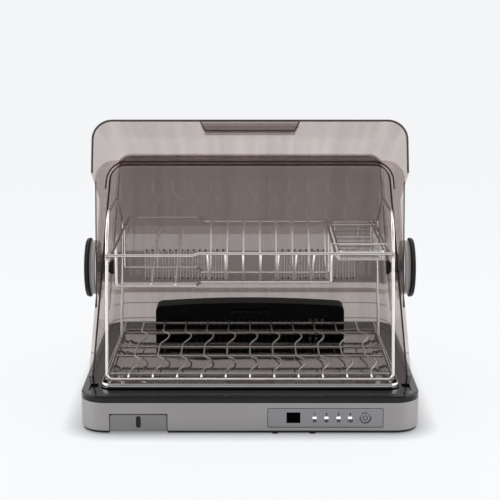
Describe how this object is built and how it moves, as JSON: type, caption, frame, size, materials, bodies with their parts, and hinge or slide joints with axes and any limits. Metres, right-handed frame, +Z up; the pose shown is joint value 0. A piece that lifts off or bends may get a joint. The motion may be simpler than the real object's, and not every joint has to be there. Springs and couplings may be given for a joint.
{
  "type": "dish dryer",
  "caption": "Counter-top dish dryer with a steel-banded base, wire racks, a rear hot-air blower and a smoked swing-up cover on side hinges.",
  "frame": {"origin": "on the table under the middle of the base", "axes": "+X to the user's right, +Y to the back, +Z up"},
  "size_m": [0.508, 0.428, 0.4361],
  "materials": {
    "smoked_plastic": "clear smoked, polished",
    "black_gloss": "gloss black moulding",
    "black_matte": "fine matt black moulding",
    "brushed_steel": "brushed along its length",
    "panel_steel": "brushed, cool grey",
    "polished_steel": "mirror polished stainless",
    "wire_steel": "polished stainless wire",
    "screw_steel": "plain",
    "motor_metal": "plated",
    "heater_aluminium": "plain",
    "rubber": "matt",
    "display": "dark lens",
    "lamp_white": "milky lens",
    "board_green": "solder mask",
    "hub_grey": "polished grey"
  },
  "bodies": {
    "base": {"bottom_pan": "black_matte", "pan_screws": "screw_steel", "rubber_feet": "rubber", "steel_band": "brushed_steel", "cord_gland": "black_matte", "top_deck": "black_gloss", "drain_tray": "polished_steel", "panel_plate": "panel_steel", "display_window": "display", "indicator_lenses": "lamp_white", "circuit_board": "board_green", "tower_shell": "black_gloss", "fan_motor": "motor_metal", "fan_bearing": "black_matte", "heater_block": "heater_aluminium", "rear_cover": "smoked_plastic", "rack_hoops": "wire_steel", "rack_rails": "wire_steel", "wavy_wires": "wire_steel", "rack_hooks": "wire_steel", "hinge_pin_left": "black_matte", "hinge_washer_left": "black_matte", "hinge_pin_right": "black_matte", "hinge_washer_right": "black_matte"},
    "door": {"front_cover": "smoked_plastic", "hinge_hub_left": "hub_grey", "hinge_hub_right": "hub_grey", "hinge_cap_left": "black_gloss", "hinge_cap_right": "black_gloss"},
    "drawer": {"drawer_front": "brushed_steel", "drawer_pull": "black_matte", "drawer_bin": "black_matte"},
    "button": {"start_button": "panel_steel"},
    "fan": {"fan_shaft": "wire_steel", "fan_impeller": "black_matte"},
    "upper_rack": {"upper_frame": "wire_steel", "low_rails": "wire_steel", "divider_wires": "wire_steel", "hairpins": "wire_steel"},
    "cutlery_basket": {"basket_frame": "wire_steel", "basket_wires": "wire_steel"}
  },
  "joints": [
    {"name": "door_hinge", "type": "hinge", "parent": "base", "child": "door", "pos_m": [0, 0, 0.199], "axis": [1, 0, 0], "range_deg": [0, 110.7]},
    {"name": "drawer_slide", "type": "slide", "parent": "base", "child": "drawer", "axis": [0, -1, 0], "range_m": [0, 0.11]},
    {"name": "button_press", "type": "slide", "parent": "base", "child": "button", "axis": [0, 1, 0], "range_m": [0, 0.001], "stiffness_N_per_m": 600, "springref_m": -0.0005},
    {"name": "fan_spin", "type": "hinge", "parent": "base", "child": "fan", "pos_m": [0, 0.185, 0.08], "axis": [1, 0, 0], "continuous": true},
    {"name": "upper_rack_lift", "type": "slide", "parent": "base", "child": "upper_rack", "axis": [0, 0, 1], "range_m": [0, 0.025]},
    {"name": "basket_lift", "type": "slide", "parent": "upper_rack", "child": "cutlery_basket", "axis": [0, 0, 1], "range_m": [0, 0.035]}
  ]
}
